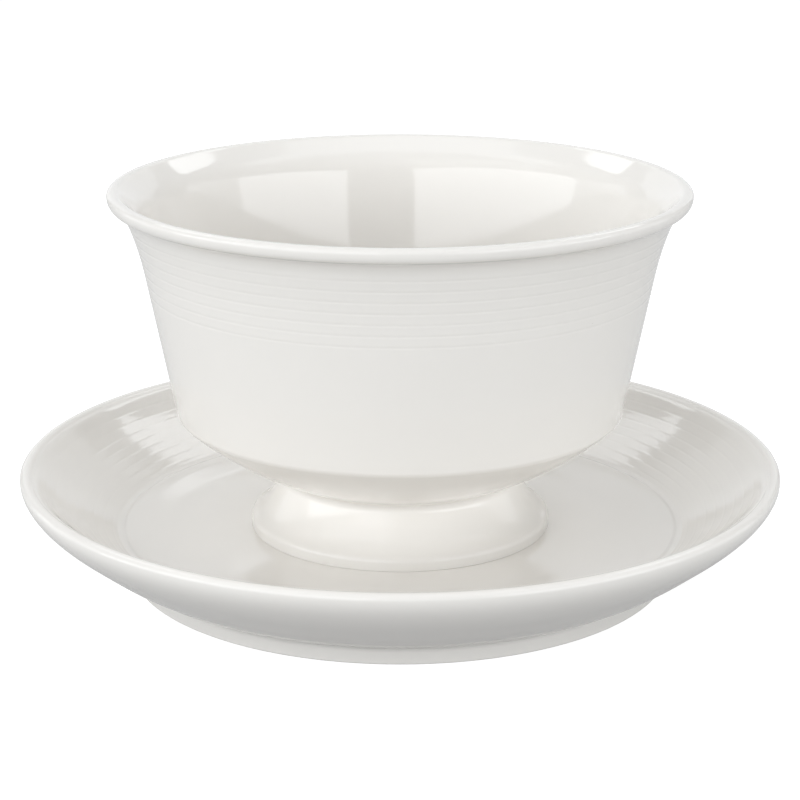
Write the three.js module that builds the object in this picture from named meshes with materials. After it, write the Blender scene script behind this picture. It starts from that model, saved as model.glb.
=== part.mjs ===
// Sauce boat: a round porcelain bowl on a flared pedestal foot, standing loose on its deep saucer.
// Millimetres, +Z up. The origin is the centre of the circle that the saucer stands on.
import * as THREE from "three";

// Driving dimensions

const TURN_STEPS = 60; // facets round each turned piece
const CURVE_STEPS = 4; // facets along a short bend of a profile
const SAME_POINT = 1e-6;
const SEAT_GAP = 0.3; // left under the foot, and at the seam where foot and bowl are luted together
const PORCELAIN_WHITE = "#ebe9e4";
const RING_DEPTH = 0.25; // grooves of the turned rings, the ornament of bowl and saucer

// Saucer, heights from the table
const SAUCER_R = 95;
const SAUCER_RIM_H = 26.2; // height of the widest circle of the rim
const SAUCER_RIM_RISE = 1.3; // from there up to the top of the rim
const SAUCER_RIM_HALF = 1.65; // half the width of the rounded rim
const STAND_R = 68.3; // outside of the foot ring
const STAND_WIDTH = 3.4;
const STAND_EDGE = 0.6; // softened edges of the foot ring
const CREASE_R = 69.2; // corner between foot ring and flange, hollowed out
const CREASE_H = 3.3;
const CREASE_REACH = 5; // how far that hollow runs out along the flange
const RECESS_H = 6.2; // underside of the well, inside the foot ring
const RECESS_R = 58; // flat part of that underside
const UNDERSIDE_TURN_R = 87; // where the underside of the flange bends up to the rim
const UNDERSIDE_TURN_H = 16;
const UNDERSIDE_RISE = 0.789; // rise for each mm outwards
const FLANGE_R = 71.5; // innermost crest of the flange's rings
const FLANGE_H = 11.7;
const FLANGE_RISE = 0.721;
const SAUCER_RINGS = 8;
const SAUCER_RING_PITCH = 2.285; // measured level
const RIM_HOLLOW_R = 91.2; // hollow between the outermost crest and the rim
const WELL_H = 10.8; // floor that the bowl stands on
const WELL_FLAT_R = 60;
const WELL_EDGE_R = 69.5; // the floor rises a little to here
const WELL_EDGE_H = 11.45;
const WELL_GROOVE_R = 70.2; // groove between well and flange
const WELL_GROOVE_H = 11.2;

// Bowl, heights from the plane that its pedestal foot stands on
const LIP_R = 71.2;
const LIP_H = 85.1; // height of the widest circle of the rolled lip
const LIP_RISE = 1.15; // from there up to the top of the lip
const LIP_DROP = 2.4; // and down to its underside
const LIP_HALF = 1.65; // half the width of the lip
const EDGE_R = 55.65; // edge between round bottom and wall
const EDGE_H = 29.8;
const EDGE_ROUND = 1.2; // reach of that edge's rounding
const BALL_R = 82.5; // radius of the round bottom
const WALL_LEAN = 0.1945; // outward lean of the wall for each mm upwards
const FLARE_FROM_H = 64.1; // the wall flares more and more from here to the lip
const FLARE_TO_H = 83.2;
const FLARE = 2.4;
const FLARE_POWER = 2.5;
const WALL = 3.8;
const BOTTOM = 4.6; // thickness of the round bottom
const BOWL_RINGS = 7;
const BOWL_RING_PITCH = 2.683;
const BOWL_RINGS_H = 60.45; // lowest crest
const MOUTH_R = 64.9; // corner that the inside is drawn towards below the lip
const MOUTH_H = 82.8;
const MOUTH_FROM_H = 77;
const INNER_TURN_H = 38.5; // where the inside wall starts to round into the bottom
const INNER_CORNER_H = 33.2;
const INNER_BALL_R = 45; // where that rounding ends

// Pedestal foot, heights from the same plane
const TOE_R = 37.7; // outside of the thick toe that it stands on
const TOE_ROUND = 1.6; // rounded shoulder of the toe
const TOE_EDGE = 0.4; // softened edge below
const TOE_WIDTH = 4.2;
const ANKLE_R = 34.45; // where the cone leaves the toe
const ANKLE_H = 4.6;
const WAIST_R = 31.2; // corner that the cone is drawn towards
const WAIST_H = 9.4;
const NECK_R = 30; // slimmest part, before the neck spreads on to the bowl
const NECK_H = 11.8;
const NECK_CORNER_R = 29.3; // corner that the spreading neck is drawn towards
const NECK_SPREAD = 2.6;
const NECK_WALL = 4;
const FOOT_HOLLOW_R = 29.4; // corner that the inside of the foot is drawn towards

const point = (radius, height) => new THREE.Vector2(radius, height);

// Points on an oval of the profile; 0 degrees points outwards and 90 upwards.
function arc(centre, across, up, fromDegrees, toDegrees, steps) {
  const [from, to] = [fromDegrees, toDegrees].map(THREE.MathUtils.degToRad);
  const oval = new THREE.EllipseCurve(centre.x, centre.y, across, up, from, to, to < from);
  return oval.getPoints(steps);
}

// A smooth bend between two points, drawn towards a corner.
function bend(from, corner, to) {
  return new THREE.QuadraticBezierCurve(from, corner, to).getPoints(CURVE_STEPS);
}

// Turned rings: crests on a surface a pitch apart, and a groove cut inwards between each two.
function rings(surface, start, pitch, count, inwards) {
  const points = [surface(start)];
  for (let ring = 1; ring <= count; ring++) {
    const groove = surface(start + pitch * (ring - 0.5)).addScaledVector(inwards, RING_DEPTH);
    points.push(groove, surface(start + pitch * ring));
  }
  return points;
}

// The round bottom of the bowl and the surfaces parallel to it are balls about one centre.
const ballCentre = point(0, EDGE_H + Math.sqrt(BALL_R ** 2 - EDGE_R ** 2));
const onBall = (radius, size) => point(radius, ballCentre.y - Math.sqrt(size ** 2 - radius ** 2));
const ballDegrees = (radius, size) => THREE.MathUtils.radToDeg(Math.asin(radius / size)) - 90;

function glazedPorcelain() {
  return new THREE.MeshStandardMaterial({ color: PORCELAIN_WHITE, roughness: 0.15, metalness: 0 });
}

// A turned piece: the stretches of its profile joined end to end, with a shared end kept once, swept
// round the axis and stood up along Z.
function turned(name, ...stretches) {
  const points = stretches.flat();
  const profile = points.filter((p, i) => i === 0 || p.distanceTo(points[i - 1]) > SAME_POINT);
  const geometry = new THREE.LatheGeometry(profile, TURN_STEPS).rotateX(Math.PI / 2);
  const piece = new THREE.Mesh(geometry, glazedPorcelain());
  piece.name = name;
  return piece;
}

function saucer() {
  const underside = (radius) =>
    point(radius, UNDERSIDE_TURN_H + UNDERSIDE_RISE * (radius - UNDERSIDE_TURN_R));
  const flange = (radius) => point(radius, FLANGE_H + FLANGE_RISE * (radius - FLANGE_R));
  const intoFlange = point(FLANGE_RISE, -1).normalize();

  const standInside = STAND_R - STAND_WIDTH;
  const standWall = point(standInside - STAND_EDGE, STAND_EDGE);
  const recess = bend(point(RECESS_R, RECESS_H), point(standWall.x, RECESS_H), standWall);
  const standSide = point(STAND_R, STAND_EDGE);
  const corner = point(CREASE_R, CREASE_H);
  const crease = bend(standSide.clone().lerp(corner, 0.5), corner, underside(CREASE_R + CREASE_REACH));
  const rimSide = point(SAUCER_R, SAUCER_RIM_H);
  const turnUp = bend(underside(UNDERSIDE_TURN_R), underside(SAUCER_R), rimSide);
  const rimCentre = point(SAUCER_R - SAUCER_RIM_HALF, SAUCER_RIM_H);
  const rim = arc(rimCentre, SAUCER_RIM_HALF, SAUCER_RIM_RISE, 0, 150, 5);
  const outerCrest = FLANGE_R + SAUCER_RINGS * SAUCER_RING_PITCH;
  const wellEdge = bend(
    point(WELL_EDGE_R, WELL_EDGE_H),
    point((WELL_EDGE_R + WELL_FLAT_R) / 2, WELL_H),
    point(WELL_FLAT_R, WELL_H),
  );

  return turned(
    "saucer",
    point(0, RECESS_H),
    recess,
    point(standInside, 0),
    point(STAND_R - STAND_EDGE, 0),
    standSide,
    crease,
    turnUp,
    rim,
    flange(RIM_HOLLOW_R),
    rings(flange, outerCrest, -SAUCER_RING_PITCH, SAUCER_RINGS, intoFlange),
    point(WELL_GROOVE_R, WELL_GROOVE_H),
    wellEdge,
    point(0, WELL_H),
  );
}

function bowl() {
  const flareAt = (height) =>
    FLARE * (Math.max(0, height - FLARE_FROM_H) / (FLARE_TO_H - FLARE_FROM_H)) ** FLARE_POWER;
  const wall = (height) => point(EDGE_R + WALL_LEAN * (height - EDGE_H) + flareAt(height), height);
  const inside = (height) => wall(height).sub(point(WALL, 0));

  const edgeStart = EDGE_R - EDGE_ROUND;
  const bottom = arc(ballCentre, BALL_R, BALL_R, -90, ballDegrees(edgeStart, BALL_R), 5);
  const edge = bend(onBall(edgeStart, BALL_R), wall(EDGE_H), wall(EDGE_H + EDGE_ROUND));
  const topCrest = BOWL_RINGS_H + BOWL_RINGS * BOWL_RING_PITCH;
  const lipCentre = point(LIP_R - LIP_HALF, LIP_H);
  const lipBelow = arc(lipCentre, LIP_HALF, LIP_DROP, -110, 0, 4);
  const lipAbove = arc(lipCentre, LIP_HALF, LIP_RISE, 0, 150, 4);
  const mouth = bend(lipAbove.at(-1), point(MOUTH_R, MOUTH_H), inside(MOUTH_FROM_H));
  const innerBall = BALL_R - BOTTOM;
  const turnIn = bend(inside(INNER_TURN_H), inside(INNER_CORNER_H), onBall(INNER_BALL_R, innerBall));
  const innerEnd = ballDegrees(INNER_BALL_R, innerBall);
  const innerBottom = arc(ballCentre, innerBall, innerBall, innerEnd, -90, 5);

  return turned(
    "bowl",
    bottom,
    edge,
    rings(wall, BOWL_RINGS_H, BOWL_RING_PITCH, BOWL_RINGS, point(-1, 0)),
    wall((topCrest + FLARE_TO_H) / 2),
    lipBelow,
    lipAbove,
    mouth,
    turnIn,
    innerBottom,
  );
}

// The foot is a ring of its own, so its profile closes on itself.
function pedestalFoot() {
  const seam = (radius) => onBall(radius, BALL_R).sub(point(0, SEAT_GAP));
  const sole = [point(TOE_R - TOE_WIDTH, 0), point(TOE_R - TOE_EDGE, 0)];
  const side = point(TOE_R, TOE_EDGE);
  const shoulder = arc(point(TOE_R - TOE_ROUND, TOE_ROUND), TOE_ROUND, TOE_ROUND, 0, 75, 3);
  const slimmest = point(NECK_R, NECK_H);
  const cone = bend(point(ANKLE_R, ANKLE_H), point(WAIST_R, WAIST_H), slimmest);
  const neck = bend(slimmest, seam(NECK_CORNER_R), seam(NECK_R + NECK_SPREAD));
  const hollow = bend(seam(NECK_R - NECK_WALL), point(FOOT_HOLLOW_R, ANKLE_H), sole[0]);
  return turned("pedestal_foot", sole, side, shoulder, cone, neck, hollow);
}

// The foot is luted to the bowl, and the two lift off the saucer together.
const footedBowl = new THREE.Group();
footedBowl.add(bowl(), pedestalFoot());
footedBowl.position.z = WELL_H + SEAT_GAP;

const sauceBoat = new THREE.Group();
sauceBoat.add(saucer(), footedBowl);

export default sauceBoat;
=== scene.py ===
"""Looks of the sauce boat: a round porcelain bowl on a pedestal foot, loose on its deep saucer."""
from math import asin, ceil, cos, degrees, pi, radians, sin, sqrt

import bmesh
import bpy
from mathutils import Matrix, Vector


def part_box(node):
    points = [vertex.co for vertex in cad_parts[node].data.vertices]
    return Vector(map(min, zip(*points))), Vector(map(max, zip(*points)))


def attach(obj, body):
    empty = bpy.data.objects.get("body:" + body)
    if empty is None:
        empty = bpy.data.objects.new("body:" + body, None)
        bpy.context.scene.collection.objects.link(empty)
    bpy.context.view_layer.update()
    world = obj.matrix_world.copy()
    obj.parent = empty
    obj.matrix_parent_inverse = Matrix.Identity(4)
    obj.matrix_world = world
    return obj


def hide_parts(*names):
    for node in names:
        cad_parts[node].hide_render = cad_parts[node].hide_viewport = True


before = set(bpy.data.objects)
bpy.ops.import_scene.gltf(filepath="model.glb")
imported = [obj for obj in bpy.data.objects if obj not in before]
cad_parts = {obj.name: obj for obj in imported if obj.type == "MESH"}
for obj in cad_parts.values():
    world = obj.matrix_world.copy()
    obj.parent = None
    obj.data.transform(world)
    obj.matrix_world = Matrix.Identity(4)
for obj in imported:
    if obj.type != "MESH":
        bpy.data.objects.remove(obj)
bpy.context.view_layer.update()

# Driving sizes, in millimetres. Heights are from the table unless a line says otherwise.

MM = 0.001
TURN_STEPS = 240  # facets round each turned piece
BEND_STEPS = 10  # facets along a short bend of a profile
BALL_STEPS = 40  # facets along the bowl's round bottom
RING_STEPS = 16  # facets along each turned ring
GROOVE_SHARPNESS = 20  # a higher power makes the grooves of the rings narrower
LONGEST_STEP = 2  # longer stretches of a profile are divided
WELD = 1e-7  # in metres

saucer_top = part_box("saucer")[1] / MM
bowl_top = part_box("bowl")[1] / MM
foot_low, foot_top = (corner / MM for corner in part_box("pedestal_foot"))

ROLL_END = 150  # degrees from the widest circle of a rim or lip, over its top, to the inside

# Saucer
SAUCER_R = saucer_top.x
RIM_H = 26.2  # height of the widest circle of the rim
RIM_RISE = 1.3  # from there up to the top of the rim
RIM_HALF = 1.65  # half the width of the rounded rim
RIM_HOLLOW_R = 91.2  # hollow between the outermost crest and the rim
STAND_R = 68.3  # outside of the foot ring
STAND_WIDTH = 3.4
STAND_EDGE = 0.6  # softened edges of the foot ring
STAND_STRAIGHT = 0.6  # straight share of the foot ring's side, below the hollow of the crease
CREASE_R = 68.9  # corner between foot ring and underside, hollowed out
CREASE_H = 4.7
CREASE_REACH = 1.4  # how far that hollow runs out along the underside
CREASE_RISE = 0.32  # rise of the underside there, for each mm outwards
RECESS_R = 58  # flat part of the underside inside the foot ring
RECESS_H = 6.2
UNDERSIDE_BEND_R = 75.3  # corner that the underside is drawn towards, from the crease
UNDERSIDE_STRAIGHT_R = 82  # from here it runs straight
UNDERSIDE_TURN_R = 87  # to here, where it bends up to the rim
UNDERSIDE_TURN_H = 16
UNDERSIDE_RISE = 0.789
FLANGE_R = 71.5  # innermost crest of the flange's rings
FLANGE_H = 11.7
FLANGE_RISE = 0.63
FLANGE_BEND = 0.004  # makes the flange steeper towards the rim
FLANGE_STEEP_R = 84
FLANGE_STEEP = 0.02  # makes it steeper still, outside FLANGE_STEEP_R
SAUCER_RINGS = 8
SAUCER_RING_PITCH = 2.285  # measured level
SAUCER_RING_DEPTH = 0.02
WELL_H = 10.8  # floor that the bowl stands on
WELL_FLAT_R = 55
WELL_TURN_R = 57.5  # middle of the soft turn from the floor to its dished border
WELL_RISE = 0.075  # rise of that border for each mm outwards
WELL_SHOULDER_R = 65  # where the border starts to bend up to its edge
WELL_SHOULDER_REACH = 2  # from there to the corner that this bend is drawn towards
WELL_EDGE_R = 69.5
WELL_EDGE_H = 11.5
WELL_GROOVE_R = 70.2  # groove between well and flange
WELL_GROOVE_H = 11.2

# Bowl, heights from the plane that its foot stands on
SEAT_H = foot_low.z
LIP_R = bowl_top.x
LIP_H = 85.1  # height of the widest circle of the rolled lip
LIP_RISE = 1.15  # from there up to the top of the lip
LIP_DROP = 2.4  # and down to its underside
LIP_HALF = 1.65  # half the width of the lip
LIP_START = -82  # degrees from the widest circle to where the lip starts below
UNDER_LIP_R = 68  # corner that the wall is drawn towards below the lip
UNDER_LIP_H = 82.2
EDGE_R = 55.65  # edge between round bottom and wall
EDGE_H = 29.8
EDGE_ROUND = 0.8  # reach of that edge's rounding
BALL_R = 82.5  # radius of the round bottom
BOTTOM = 4.6  # thickness of the round bottom
WALL_LEAN = 0.1945  # outward lean of the wall for each mm upwards
FLARE_FROM_H = 64.1  # the wall flares more and more from here to the lip
FLARE_TO_H = 83.2
FLARE = 2.4
FLARE_POWER = 2.5
BOWL_RINGS = 7
BOWL_RING_PITCH = 2.683
BOWL_RING_DEPTH = 0.055
BOWL_RINGS_H = 60.45  # lowest crest
INNER_LEAN = 0.232  # outward lean of the inside for each mm upwards
MOUTH_FROM_R = 62.05  # where the inside starts to flare to the mouth
MOUTH_FROM_H = 77.4
MOUTH_H = 81  # height of the corner that the flare is drawn towards
MOUTH_STRAIGHT = 0.6  # share of the way from lip to corner that is straight
INNER_TURN_H = 38.5  # where the inside starts to round into the bottom
INNER_CORNER_H = 33.2
INNER_BALL_R = 45  # where that rounding ends

# Pedestal foot, heights from the same plane
TOE_R = foot_top.x
TOE_ROUND = 1.6  # rounded shoulder of the toe
TOE_TURN = 60  # degrees that this shoulder turns through
TOE_EDGE = 0.12  # softened edge below
TOE_WIDTH = 4.2
TOE_REACH = 0.28  # how far the toe fills the gap that the CAD leaves above the well's floor
ANKLE_CORNER_R = 34.6  # corner between toe and cone, hollowed out
ANKLE_CORNER_H = 4.3
ANKLE_R = 32.95
ANKLE_H = 6.85
WAIST_R = 30.9  # corner that the cone is drawn towards
WAIST_H = 10
NECK_R = 30  # slimmest part, before the neck spreads on to the bowl
NECK_H = 11.8
NECK_CORNER_R = 29.3  # corner that the spreading neck is drawn towards
NECK_SPREAD = 2.6
NECK_REACH = 0.1  # the neck runs this far into the bowl, as glaze covers the seam
NECK_WALL = 4
FOOT_HOLLOW_R = 29.4  # corner that the inside of the foot is drawn towards
FOOT_HOLLOW_H = 4.6

# Finishes
GLAZED, BARE = 0, 1
BARE_H = 0.6  # up to this height above the standing plane, a face that looks down is bare
LOOKS_DOWN = -0.9  # the upward part of the normal of such a face is below this
PORCELAIN_IOR = 1.5
MIX_A, MIX_B, MIXED = 6, 7, 2  # sockets of a Mix node that mixes colours

# Camera, matched to the photograph's 800 x 800 picture
IMAGE_PX = 800
FOCAL_PX = 2252.87
SENSOR = 36
CAMERA_ELEVATION = 16.778  # degrees
CAMERA_DISTANCE = 565.48
CAMERA_AIM_H = 42.396

# Studio
LAMP_WHITE = "#f9fcff"
MIRRORED = 0.35  # share of the white that the glaze mirrors, as beyond the paper the room is dim


# Profiles: points of radius and height in millimetres

def point(radius, height):
    return Vector((radius, height))


def arc(centre, across, up, from_degrees, to_degrees, steps=BEND_STEPS):
    """Points on an oval of the profile; 0 degrees points outwards and 90 upwards."""
    sweep = to_degrees - from_degrees
    angles = [radians(from_degrees + sweep * i / steps) for i in range(steps + 1)]
    return [centre + point(across * cos(angle), up * sin(angle)) for angle in angles]


def bend(start, corner, end, steps=BEND_STEPS):
    """A smooth bend between two points, drawn towards a corner."""
    shares = [i / steps for i in range(steps + 1)]
    return [start.lerp(corner, t).lerp(corner.lerp(end, t), t) for t in shares]


def even(profile):
    """The profile with its long stretches divided, so that shading stays true along them."""
    points = [profile[0]]
    for start, end in zip(profile, profile[1:]):
        steps = ceil((end - start).length / LONGEST_STEP)
        points += [start.lerp(end, i / steps) for i in range(1, steps + 1)]
    return points


def rings(surface, start, pitch, count, inwards):
    """Turned rings: narrow grooves cut inwards from a surface, with crests a pitch apart."""
    turns = [i / RING_STEPS for i in range(count * RING_STEPS + 1)]
    depths = [sin(pi * turn) ** GROOVE_SHARPNESS for turn in turns]
    return [surface(start + pitch * turn) + inwards * depth for turn, depth in zip(turns, depths)]


ball_centre = point(0, EDGE_H + sqrt(BALL_R**2 - EDGE_R**2))


def on_ball(radius, size):
    """A point of the bowl's round bottom, or of a surface parallel to it."""
    return point(radius, ball_centre.y - sqrt(size**2 - radius**2))


def ball_degrees(radius, size):
    return degrees(asin(radius / size)) - 90


def wall(height):
    """The bowl's outer wall: a leaning line that flares more and more towards the lip."""
    rise = max(0, height - FLARE_FROM_H) / (FLARE_TO_H - FLARE_FROM_H)
    return point(EDGE_R + WALL_LEAN * (height - EDGE_H) + FLARE * rise**FLARE_POWER, height)


def inside(height):
    return point(MOUTH_FROM_R + INNER_LEAN * (height - MOUTH_FROM_H), height)


def flange(radius):
    """The saucer's flange, a little steeper towards the rim."""
    reach = radius - FLANGE_R
    steep = max(0, radius - FLANGE_STEEP_R)
    rise = FLANGE_RISE * reach + FLANGE_BEND * reach**2 + FLANGE_STEEP * steep**2
    return point(radius, FLANGE_H + rise)


def well(radius):
    """The dished border of the saucer's well."""
    return point(radius, WELL_H + WELL_RISE * (radius - WELL_TURN_R))


def underside(radius):
    return point(radius, UNDERSIDE_TURN_H + UNDERSIDE_RISE * (radius - UNDERSIDE_TURN_R))


def saucer_profile():
    stand_inside = STAND_R - STAND_WIDTH
    stand_wall = point(stand_inside - STAND_EDGE, STAND_EDGE)
    stand_side = point(STAND_R, STAND_EDGE)
    corner = point(CREASE_R, CREASE_H)
    crease = corner + CREASE_REACH * point(1, CREASE_RISE)
    rim = arc(point(SAUCER_R - RIM_HALF, RIM_H), RIM_HALF, RIM_RISE, 0, ROLL_END)
    outer_crest = FLANGE_R + SAUCER_RINGS * SAUCER_RING_PITCH
    into_flange = point(FLANGE_RISE, -1).normalized() * SAUCER_RING_DEPTH
    well_edge = point(WELL_EDGE_R, WELL_EDGE_H)
    well_shoulder = well(WELL_SHOULDER_R)
    well_border = well(2 * WELL_TURN_R - WELL_FLAT_R)
    return [
        point(0, RECESS_H),
        *bend(point(RECESS_R, RECESS_H), point(stand_wall.x, RECESS_H), stand_wall),
        *bend(stand_wall, point(stand_wall.x, 0), point(stand_inside, 0)),
        *bend(point(STAND_R - STAND_EDGE, 0), point(STAND_R, 0), stand_side),
        *bend(stand_side.lerp(corner, STAND_STRAIGHT), corner, crease),
        *bend(crease, underside(UNDERSIDE_BEND_R), underside(UNDERSIDE_STRAIGHT_R)),
        *bend(underside(UNDERSIDE_TURN_R), underside(SAUCER_R), point(SAUCER_R, RIM_H)),
        *rim,
        *bend(rim[-1], flange(RIM_HOLLOW_R), flange(outer_crest)),
        *rings(flange, outer_crest, -SAUCER_RING_PITCH, SAUCER_RINGS, into_flange),
        *bend(flange(FLANGE_R), point(WELL_GROOVE_R, WELL_GROOVE_H), well_edge),
        *bend(well_edge, well(WELL_SHOULDER_R + WELL_SHOULDER_REACH), well_shoulder),
        *bend(well_border, point(WELL_TURN_R, WELL_H), point(WELL_FLAT_R, WELL_H)),
        point(0, WELL_H),
    ]


def bowl_profile():
    edge_start = EDGE_R - EDGE_ROUND
    edge_degrees = ball_degrees(edge_start, BALL_R)
    top_crest = BOWL_RINGS_H + BOWL_RINGS * BOWL_RING_PITCH
    lip_centre = point(LIP_R - LIP_HALF, LIP_H)
    lip_below = arc(lip_centre, LIP_HALF, LIP_DROP, LIP_START, 0)
    lip_above = arc(lip_centre, LIP_HALF, LIP_RISE, 0, ROLL_END)
    mouth = inside(MOUTH_H)
    inner_ball = BALL_R - BOTTOM
    inner_end = on_ball(INNER_BALL_R, inner_ball)
    inner_degrees = ball_degrees(INNER_BALL_R, inner_ball)
    profile = [
        *arc(ball_centre, BALL_R, BALL_R, -90, edge_degrees, BALL_STEPS),
        *bend(on_ball(edge_start, BALL_R), wall(EDGE_H), wall(EDGE_H + EDGE_ROUND)),
        *rings(wall, BOWL_RINGS_H, BOWL_RING_PITCH, BOWL_RINGS, point(-BOWL_RING_DEPTH, 0)),
        *bend(wall(top_crest), point(UNDER_LIP_R, UNDER_LIP_H), lip_below[0]),
        *lip_below,
        *lip_above,
        *bend(lip_above[-1].lerp(mouth, MOUTH_STRAIGHT), mouth, inside(MOUTH_FROM_H)),
        *bend(inside(INNER_TURN_H), inside(INNER_CORNER_H), inner_end),
        *arc(ball_centre, inner_ball, inner_ball, inner_degrees, -90, BALL_STEPS),
    ]
    return [p + point(0, SEAT_H) for p in profile]


def foot_profile():
    """The foot is a ring, so its profile closes on itself."""
    sole = point(TOE_R - TOE_WIDTH, -TOE_REACH)
    sole_edge = point(TOE_R - TOE_EDGE, -TOE_REACH)
    side = point(TOE_R, TOE_EDGE - TOE_REACH)
    shoulder = arc(point(TOE_R - TOE_ROUND, TOE_ROUND), TOE_ROUND, TOE_ROUND, 0, TOE_TURN)
    ankle = point(ANKLE_R, ANKLE_H)
    slimmest = point(NECK_R, NECK_H)
    seam_ball = BALL_R - NECK_REACH
    neck_outside = on_ball(NECK_R + NECK_SPREAD, seam_ball)
    neck_inside = on_ball(NECK_R - NECK_WALL, seam_ball)
    profile = [
        sole,
        *bend(sole_edge, point(TOE_R, -TOE_REACH), side),
        *shoulder,
        *bend(shoulder[-1], point(ANKLE_CORNER_R, ANKLE_CORNER_H), ankle),
        *bend(ankle, point(WAIST_R, WAIST_H), slimmest),
        *bend(slimmest, on_ball(NECK_CORNER_R, BALL_R), neck_outside),
        *bend(neck_inside, point(FOOT_HOLLOW_R, FOOT_HOLLOW_H), sole),
    ]
    return [p + point(0, SEAT_H) for p in profile]


# Materials

def linear(hex_colour):
    """An sRGB hex colour as linear red, green, blue and alpha."""
    shares = [int(hex_colour[i : i + 2], 16) / 255 for i in (1, 3, 5)]
    return (*[s / 12.92 if s <= 0.04045 else ((s + 0.055) / 1.055) ** 2.4 for s in shares], 1)


def add(tree, kind, sockets, **settings):
    """One node with its settings; each socket gets a value or another node's output."""
    node = tree.nodes.new(kind)
    for name, value in settings.items():
        setattr(node, name, value)
    for name, value in sockets.items():
        if isinstance(value, bpy.types.NodeSocket):
            tree.links.new(value, node.inputs[name])
        else:
            node.inputs[name].default_value = value
    return node


def new_material(name):
    material = bpy.data.materials.new(name)
    material.use_nodes = True
    material.node_tree.nodes.clear()
    return material, material.node_tree


def glazed_porcelain():
    """White hard porcelain under a clear gloss glaze: a warm white, mirror-like where lamps
    reflect, a little uneven in tint and in gloss where the glaze lies thicker, with a few dark
    kiln specks."""
    cloud_size = 40 * MM
    ripple_size = 9 * MM
    ripple_height = 0.02 * MM
    speck_spacing = 12 * MM
    speck_size = 0.18 * MM
    speck_core = 0.09 * MM
    smoothest, roughest = 0.05, 0.1
    material, tree = new_material("glazed porcelain")
    place = add(tree, "ShaderNodeTexCoord", {}).outputs["Object"]
    cloud = add(
        tree, "ShaderNodeTexNoise", {"Vector": place, "Scale": 1 / cloud_size, "Detail": 2}
    ).outputs["Fac"]
    tint = add(
        tree,
        "ShaderNodeMix",
        {"Factor": cloud, MIX_A: linear("#f0ede8"), MIX_B: linear("#edeae5")},
        data_type="RGBA",
    )
    cell = add(tree, "ShaderNodeTexVoronoi", {"Vector": place, "Scale": 1 / speck_spacing})
    speck = add(
        tree,
        "ShaderNodeMapRange",
        {
            "Value": cell.outputs["Distance"],
            "From Min": speck_size / speck_spacing,
            "From Max": speck_core / speck_spacing,
        },
    )
    colour = add(
        tree,
        "ShaderNodeMix",
        {
            "Factor": speck.outputs["Result"],
            MIX_A: tint.outputs[MIXED],
            MIX_B: linear("#c4bfb6"),
        },
        data_type="RGBA",
    )
    gloss = add(
        tree, "ShaderNodeMapRange", {"Value": cloud, "To Min": smoothest, "To Max": roughest}
    )
    ripple = add(
        tree, "ShaderNodeTexNoise", {"Vector": place, "Scale": 1 / ripple_size, "Detail": 1}
    )
    bump = add(
        tree, "ShaderNodeBump", {"Height": ripple.outputs["Fac"], "Distance": ripple_height}
    )
    shader = add(
        tree,
        "ShaderNodeBsdfPrincipled",
        {
            "Base Color": colour.outputs[MIXED],
            "Roughness": gloss.outputs["Result"],
            "IOR": PORCELAIN_IOR,
            "Normal": bump.outputs["Normal"],
        },
    )
    add(tree, "ShaderNodeOutputMaterial", {"Surface": shader.outputs["BSDF"]})
    return material


def bare_porcelain():
    """Unglazed porcelain, wiped clean where the piece stands in the kiln: matt and a little
    greyer, with a fine grit."""
    grit_size = 0.5 * MM
    grit_height = 0.03 * MM
    material, tree = new_material("bare porcelain")
    place = add(tree, "ShaderNodeTexCoord", {}).outputs["Object"]
    grit = add(
        tree, "ShaderNodeTexNoise", {"Vector": place, "Scale": 1 / grit_size, "Detail": 3}
    ).outputs["Fac"]
    colour = add(
        tree,
        "ShaderNodeMix",
        {"Factor": grit, MIX_A: linear("#e6e1d8"), MIX_B: linear("#d6d0c5")},
        data_type="RGBA",
    )
    bump = add(tree, "ShaderNodeBump", {"Height": grit, "Distance": grit_height})
    shader = add(
        tree,
        "ShaderNodeBsdfPrincipled",
        {
            "Base Color": colour.outputs[MIXED],
            "Roughness": 0.8,
            "IOR": PORCELAIN_IOR,
            "Normal": bump.outputs["Normal"],
        },
    )
    add(tree, "ShaderNodeOutputMaterial", {"Surface": shader.outputs["BSDF"]})
    return material


def seen_or_mirrored(tree):
    """1 for rays from the camera and through glass, MIRRORED for those that the glaze mirrors,
    otherwise 0."""
    path = add(tree, "ShaderNodeLightPath", {}).outputs
    mirrored = add(
        tree, "ShaderNodeMath", {0: path["Is Glossy Ray"], 1: MIRRORED}, operation="MULTIPLY"
    )
    seen = add(
        tree,
        "ShaderNodeMath",
        {0: path["Is Camera Ray"], 1: path["Is Transmission Ray"]},
        operation="MAXIMUM",
    )
    either = add(
        tree, "ShaderNodeMath", {0: seen.outputs[0], 1: mirrored.outputs[0]}, operation="MAXIMUM"
    )
    return either.outputs[0]


def studio_paper(lift):
    """White paper that the object stands on. It takes the object's shadow, and to the eye and in
    the glaze it is lifted to white."""
    material, tree = new_material("studio paper")
    seen = seen_or_mirrored(tree)
    glow = add(tree, "ShaderNodeMath", {0: seen, 1: lift}, operation="MULTIPLY")
    paper = add(tree, "ShaderNodeBsdfDiffuse", {"Color": linear("#aaaaaa")})
    light = add(tree, "ShaderNodeEmission", {"Strength": glow.outputs[0]})
    shader = add(tree, "ShaderNodeAddShader", {0: paper.outputs[0], 1: light.outputs[0]})
    add(tree, "ShaderNodeOutputMaterial", {"Surface": shader.outputs[0]})
    return material


# Pieces

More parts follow.
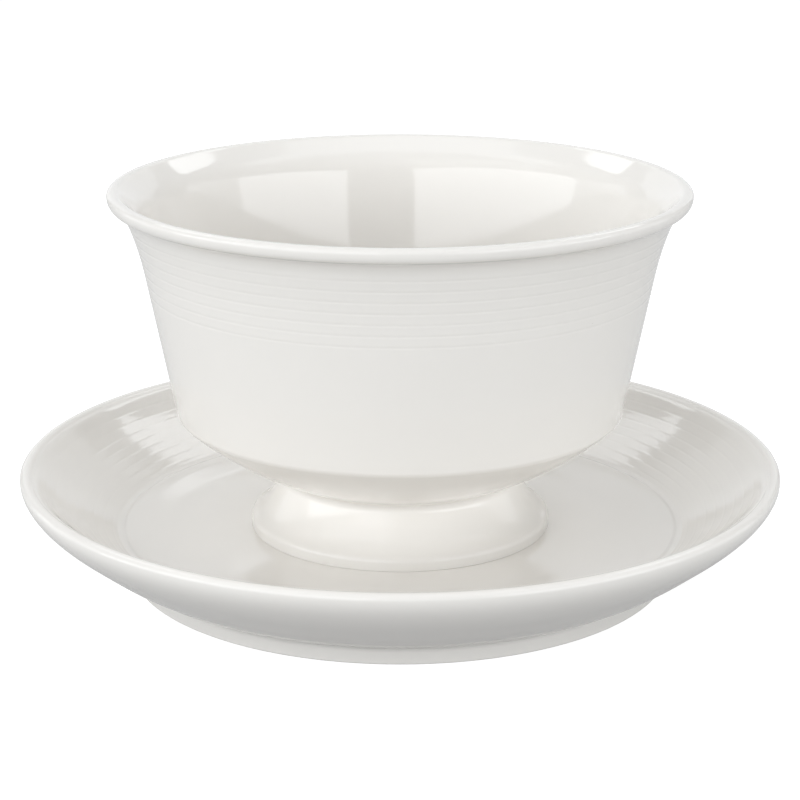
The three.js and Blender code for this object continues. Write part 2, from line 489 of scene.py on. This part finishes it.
def turned(name, profile, bare_below, finishes):
    """A turned piece: its profile swept round the axis, glazed all over but where it stands."""
    bm = bmesh.new()
    verts = [bm.verts.new((p.x * MM, 0, p.y * MM)) for p in even(profile)]
    edges = [bm.edges.new(pair) for pair in zip(verts, verts[1:])]
    bmesh.ops.spin(
        bm, geom=verts + edges, axis=(0, 0, 1), angle=2 * pi, steps=TURN_STEPS, use_merge=True
    )
    bmesh.ops.remove_doubles(bm, verts=bm.verts, dist=WELD)
    bmesh.ops.recalc_face_normals(bm, faces=bm.faces)
    for face in bm.faces:
        face.smooth = True
        low = face.calc_center_median().z < bare_below * MM
        face.material_index = BARE if low and face.normal.z < LOOKS_DOWN else GLAZED
    mesh = bpy.data.meshes.new(name)
    bm.to_mesh(mesh)
    bm.free()
    for finish in finishes:
        mesh.materials.append(finish)
    piece = bpy.data.objects.new(name, mesh)
    bpy.context.collection.objects.link(piece)
    return piece


finishes = [glazed_porcelain(), bare_porcelain()]
saucer = turned("turned_saucer", saucer_profile(), BARE_H, finishes)
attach(saucer, "saucer")
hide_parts("saucer")
bowl = turned("turned_bowl", bowl_profile(), 0, finishes)
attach(bowl, "footed_bowl")
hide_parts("bowl")
foot = turned("turned_foot", foot_profile(), SEAT_H + BARE_H, finishes)
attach(foot, "footed_bowl")
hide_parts("pedestal_foot")


# Stage

def paper_floor(size, lift):
    bm = bmesh.new()
    bmesh.ops.create_grid(bm, x_segments=1, y_segments=1, size=size / 2)
    mesh = bpy.data.meshes.new("floor")
    bm.to_mesh(mesh)
    bm.free()
    mesh.materials.append(studio_paper(lift))
    floor = bpy.data.objects.new("floor", mesh)
    bpy.context.collection.objects.link(floor)


def direction(azimuth, elevation):
    """Azimuth 0 points to the camera's side and 90 to its right."""
    a, e = radians(azimuth), radians(elevation)
    return Vector((sin(a) * cos(e), -cos(a) * cos(e), sin(e)))


def softbox(name, azimuth, elevation, width, height, brightness):
    """A soft lamp of the given size in metres, one metre from the object and facing it."""
    aim = Vector((0, 0, CAMERA_AIM_H * MM))
    lamp = bpy.data.lights.new(name, "AREA")
    lamp.shape = "RECTANGLE"
    lamp.color = linear(LAMP_WHITE)[:3]
    lamp.size = width
    lamp.size_y = height
    lamp.energy = brightness * pi * width * height
    box = bpy.data.objects.new(name, lamp)
    box.location = aim + direction(azimuth, elevation)
    box.rotation_euler = (aim - box.location).to_track_quat("-Z", "Y").to_euler()
    box.visible_camera = False
    bpy.context.collection.objects.link(box)


def studio_world(fill):
    """Soft fill from all round; white to the eye and in the glaze."""
    world = bpy.data.worlds.new("studio")
    world.use_nodes = True
    tree = world.node_tree
    tree.nodes.clear()
    strength = add(
        tree,
        "ShaderNodeMapRange",
        {"Value": seen_or_mirrored(tree), "To Min": fill, "To Max": 1},
    )
    light = add(tree, "ShaderNodeBackground", {"Strength": strength.outputs[0]})
    add(tree, "ShaderNodeOutputWorld", {"Surface": light.outputs[0]})
    bpy.context.scene.world = world


def photo_camera():
    lens = bpy.data.cameras.new("camera")
    lens.sensor_width = SENSOR
    lens.lens = SENSOR * FOCAL_PX / IMAGE_PX
    camera = bpy.data.objects.new("camera", lens)
    aim = Vector((0, 0, CAMERA_AIM_H))
    camera.location = (aim + CAMERA_DISTANCE * direction(0, CAMERA_ELEVATION)) * MM
    camera.rotation_euler = (radians(90 - CAMERA_ELEVATION), 0, 0)
    bpy.context.collection.objects.link(camera)
    bpy.context.scene.camera = camera


paper_floor(size=8, lift=0.85)
# The lamps stand where the glaze in the photograph mirrors them
softbox("front left", azimuth=-50.5, elevation=18, width=1.743, height=0.462, brightness=2.9)
softbox("front right", azimuth=55.5, elevation=13.5, width=1.056, height=0.39, brightness=3)
softbox("low front", azimuth=9.5, elevation=7, width=0.626, height=0.193, brightness=1.4)
softbox("high left", azimuth=-42, elevation=43, width=1.1, height=0.33, brightness=0.6)
softbox("side left", azimuth=-111.5, elevation=12, width=0.655, height=0.353, brightness=0.75)
softbox("side right", azimuth=102, elevation=12, width=0.636, height=0.353, brightness=0.9)
softbox("back left", azimuth=-142.5, elevation=45.75, width=0.185, height=0.29, brightness=2.6)
softbox("back right", azimuth=142.5, elevation=45.75, width=0.185, height=0.29, brightness=2.8)
softbox("overhead", azimuth=0, elevation=90, width=1.95, height=0.36, brightness=1)
softbox("backdrop", azimuth=180, elevation=15, width=1.115, height=0.536, brightness=0.5)
softbox("backdrop top", azimuth=180, elevation=45, width=0.816, height=0.536, brightness=0.65)
softbox("horizon", azimuth=-174.1, elevation=20.6, width=0.04, height=0.02, brightness=0.85)
studio_world(fill=0.47)
photo_camera()
bpy.context.scene.view_settings.view_transform = "Standard"
